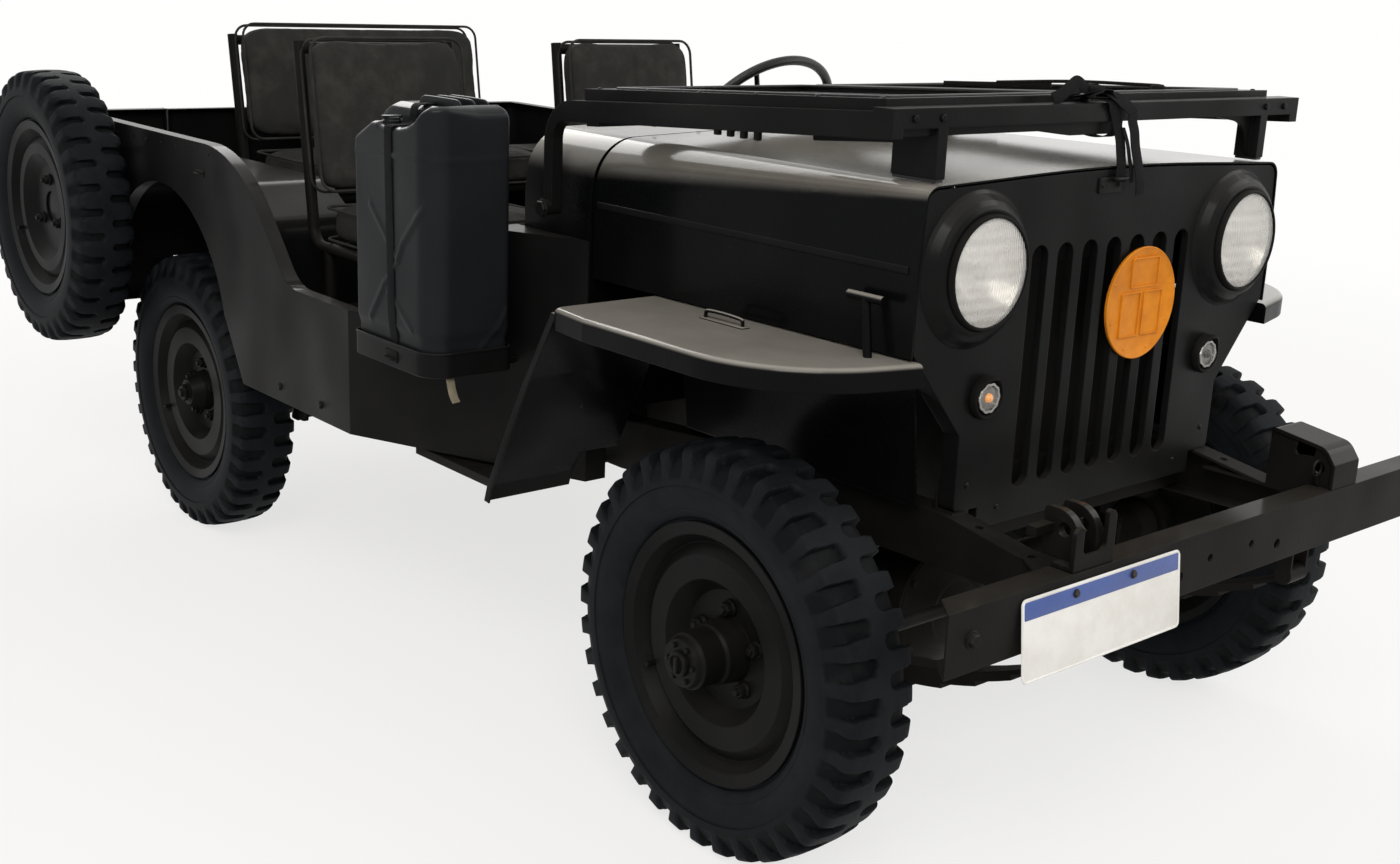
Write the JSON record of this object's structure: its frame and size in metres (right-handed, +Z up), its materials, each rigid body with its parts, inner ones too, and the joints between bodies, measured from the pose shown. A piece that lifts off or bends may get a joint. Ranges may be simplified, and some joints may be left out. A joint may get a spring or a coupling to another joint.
{
  "type": "light open army 4x4 car",
  "caption": "Light open-topped four-wheel-drive army car with a folded windscreen, high slotted front, flat fenders, a side-mounted spare wheel and a fuel can.",
  "frame": {"origin": "middle of the vehicle's footprint box, on the ground", "axes": "+X forward, +Y to the vehicle's left, +Z up"},
  "size_m": [3.32, 1.626, 1.26],
  "materials": {
    "army_black_paint": "satin near-black army paint, dusty and rubbed at the edges",
    "chassis_black": "matt black chassis paint with road dust",
    "wheel_paint": "satin near-black paint on pressed steel wheels",
    "tyre_rubber": "matt black rubber, dusty in the grooves",
    "cast_drivetrain": "oily cast iron and dark primer",
    "exhaust_steel": "dull heat-browned steel",
    "lamp_glass": "clear pressed lamp glass over a bright reflector",
    "tail_lamp_red": "red lamp lens",
    "window_glass": "flat clear safety glass",
    "seat_cover": "dark coated canvas seat cover",
    "black_plastic": "hard black moulded steering wheel and knobs",
    "can_paint": "satin dark grey-black paint on a pressed steel can"
  },
  "bodies": {
    "chassis": {"chassis_frame": "chassis_black", "front_bumper": "army_black_paint", "front_tow_brackets": "army_black_paint", "front_axle": "chassis_black", "rear_axle": "chassis_black", "front_suspension": "chassis_black", "rear_suspension": "chassis_black", "engine_and_gearbox": "cast_drivetrain", "propshafts": "cast_drivetrain", "exhaust": "exhaust_steel", "radiator": "chassis_black", "grille": "army_black_paint", "front_lamps": "lamp_glass", "hood": "army_black_paint", "front_fender_right": "army_black_paint", "front_fender_left": "army_black_paint", "cowl": "army_black_paint", "body_side_right": "army_black_paint", "body_side_left": "army_black_paint", "floor_pan": "army_black_paint", "tail_lamps": "tail_lamp_red", "driver_controls": "black_plastic", "seat_frames": "army_black_paint", "front_seat_pads": "seat_cover", "rear_seat_pads": "seat_cover", "fuel_tank": "army_black_paint", "fuel_can": "can_paint", "can_carrier": "army_black_paint", "spare_carrier": "army_black_paint", "spare_wheel": "wheel_paint", "spare_tyre": "tyre_rubber"},
    "right_knuckle": {"knuckle_right": "chassis_black"},
    "left_knuckle": {"knuckle_left": "chassis_black"},
    "track_rod": {"tie_rod": "chassis_black"},
    "front_right_wheel": {"front_wheel_right": "wheel_paint", "front_tyre_right": "tyre_rubber"},
    "front_left_wheel": {"front_wheel_left": "wheel_paint", "front_tyre_left": "tyre_rubber"},
    "rear_right_wheel": {"rear_wheel_right": "wheel_paint", "rear_tyre_right": "tyre_rubber"},
    "rear_left_wheel": {"rear_wheel_left": "wheel_paint", "rear_tyre_left": "tyre_rubber"},
    "hand_wheel": {"steering_wheel": "black_plastic"},
    "windscreen": {"windscreen_frame": "army_black_paint", "windscreen_glass": "window_glass"},
    "drop_tailgate": {"tailgate": "army_black_paint"}
  },
  "joints": [
    {"name": "steering", "type": "hinge", "parent": "chassis", "child": "right_knuckle", "pos_m": [1.143, -0.436, 0.348], "axis": [0, 0, 1], "range_deg": [-26, 26]},
    {"name": "left_knuckle_turn", "type": "hinge", "parent": "chassis", "child": "left_knuckle", "pos_m": [1.143, 0.604, 0.348], "axis": [0, 0, 1], "range_deg": [-26, 26]},
    {"name": "track_rod_eye", "type": "hinge", "parent": "right_knuckle", "child": "track_rod", "pos_m": [1.293, -0.436, 0.384], "axis": [0, 0, 1], "range_deg": [-26, 26]},
    {"name": "steering_wheel_turn", "type": "hinge", "parent": "chassis", "child": "hand_wheel", "pos_m": [0.108, 0.414, 1.075], "axis": [-0.8192, 0, 0.5735], "range_deg": [-364, 364]},
    {"name": "front_right_wheel_spin", "type": "hinge", "parent": "right_knuckle", "child": "front_right_wheel", "pos_m": [1.143, -0.527, 0.348], "axis": [0, 1, 0], "continuous": true},
    {"name": "front_left_wheel_spin", "type": "hinge", "parent": "left_knuckle", "child": "front_left_wheel", "pos_m": [1.143, 0.695, 0.348], "axis": [0, 1, 0], "continuous": true},
    {"name": "rear_right_wheel_spin", "type": "hinge", "parent": "chassis", "child": "rear_right_wheel", "pos_m": [-0.889, -0.532, 0.348], "axis": [0, 1, 0], "continuous": true},
    {"name": "rear_left_wheel_spin", "type": "hinge", "parent": "chassis", "child": "rear_left_wheel", "pos_m": [-0.889, 0.7, 0.348], "axis": [0, 1, 0], "continuous": true},
    {"name": "windscreen_fold", "type": "hinge", "parent": "chassis", "child": "windscreen", "pos_m": [0.504, 0.084, 0.989], "axis": [0, -1, 0], "range_deg": [0, 93]},
    {"name": "tailgate_drop", "type": "hinge", "parent": "chassis", "child": "drop_tailgate", "pos_m": [-1.497, 0.084, 0.626], "axis": [0, -1, 0], "range_deg": [0, 92]}
  ],
  "couplings": [
    {"joint": "left_knuckle_turn", "follows": "steering", "ratio": 1},
    {"joint": "track_rod_eye", "follows": "steering", "ratio": -1},
    {"joint": "steering_wheel_turn", "follows": "steering", "ratio": 14}
  ]
}
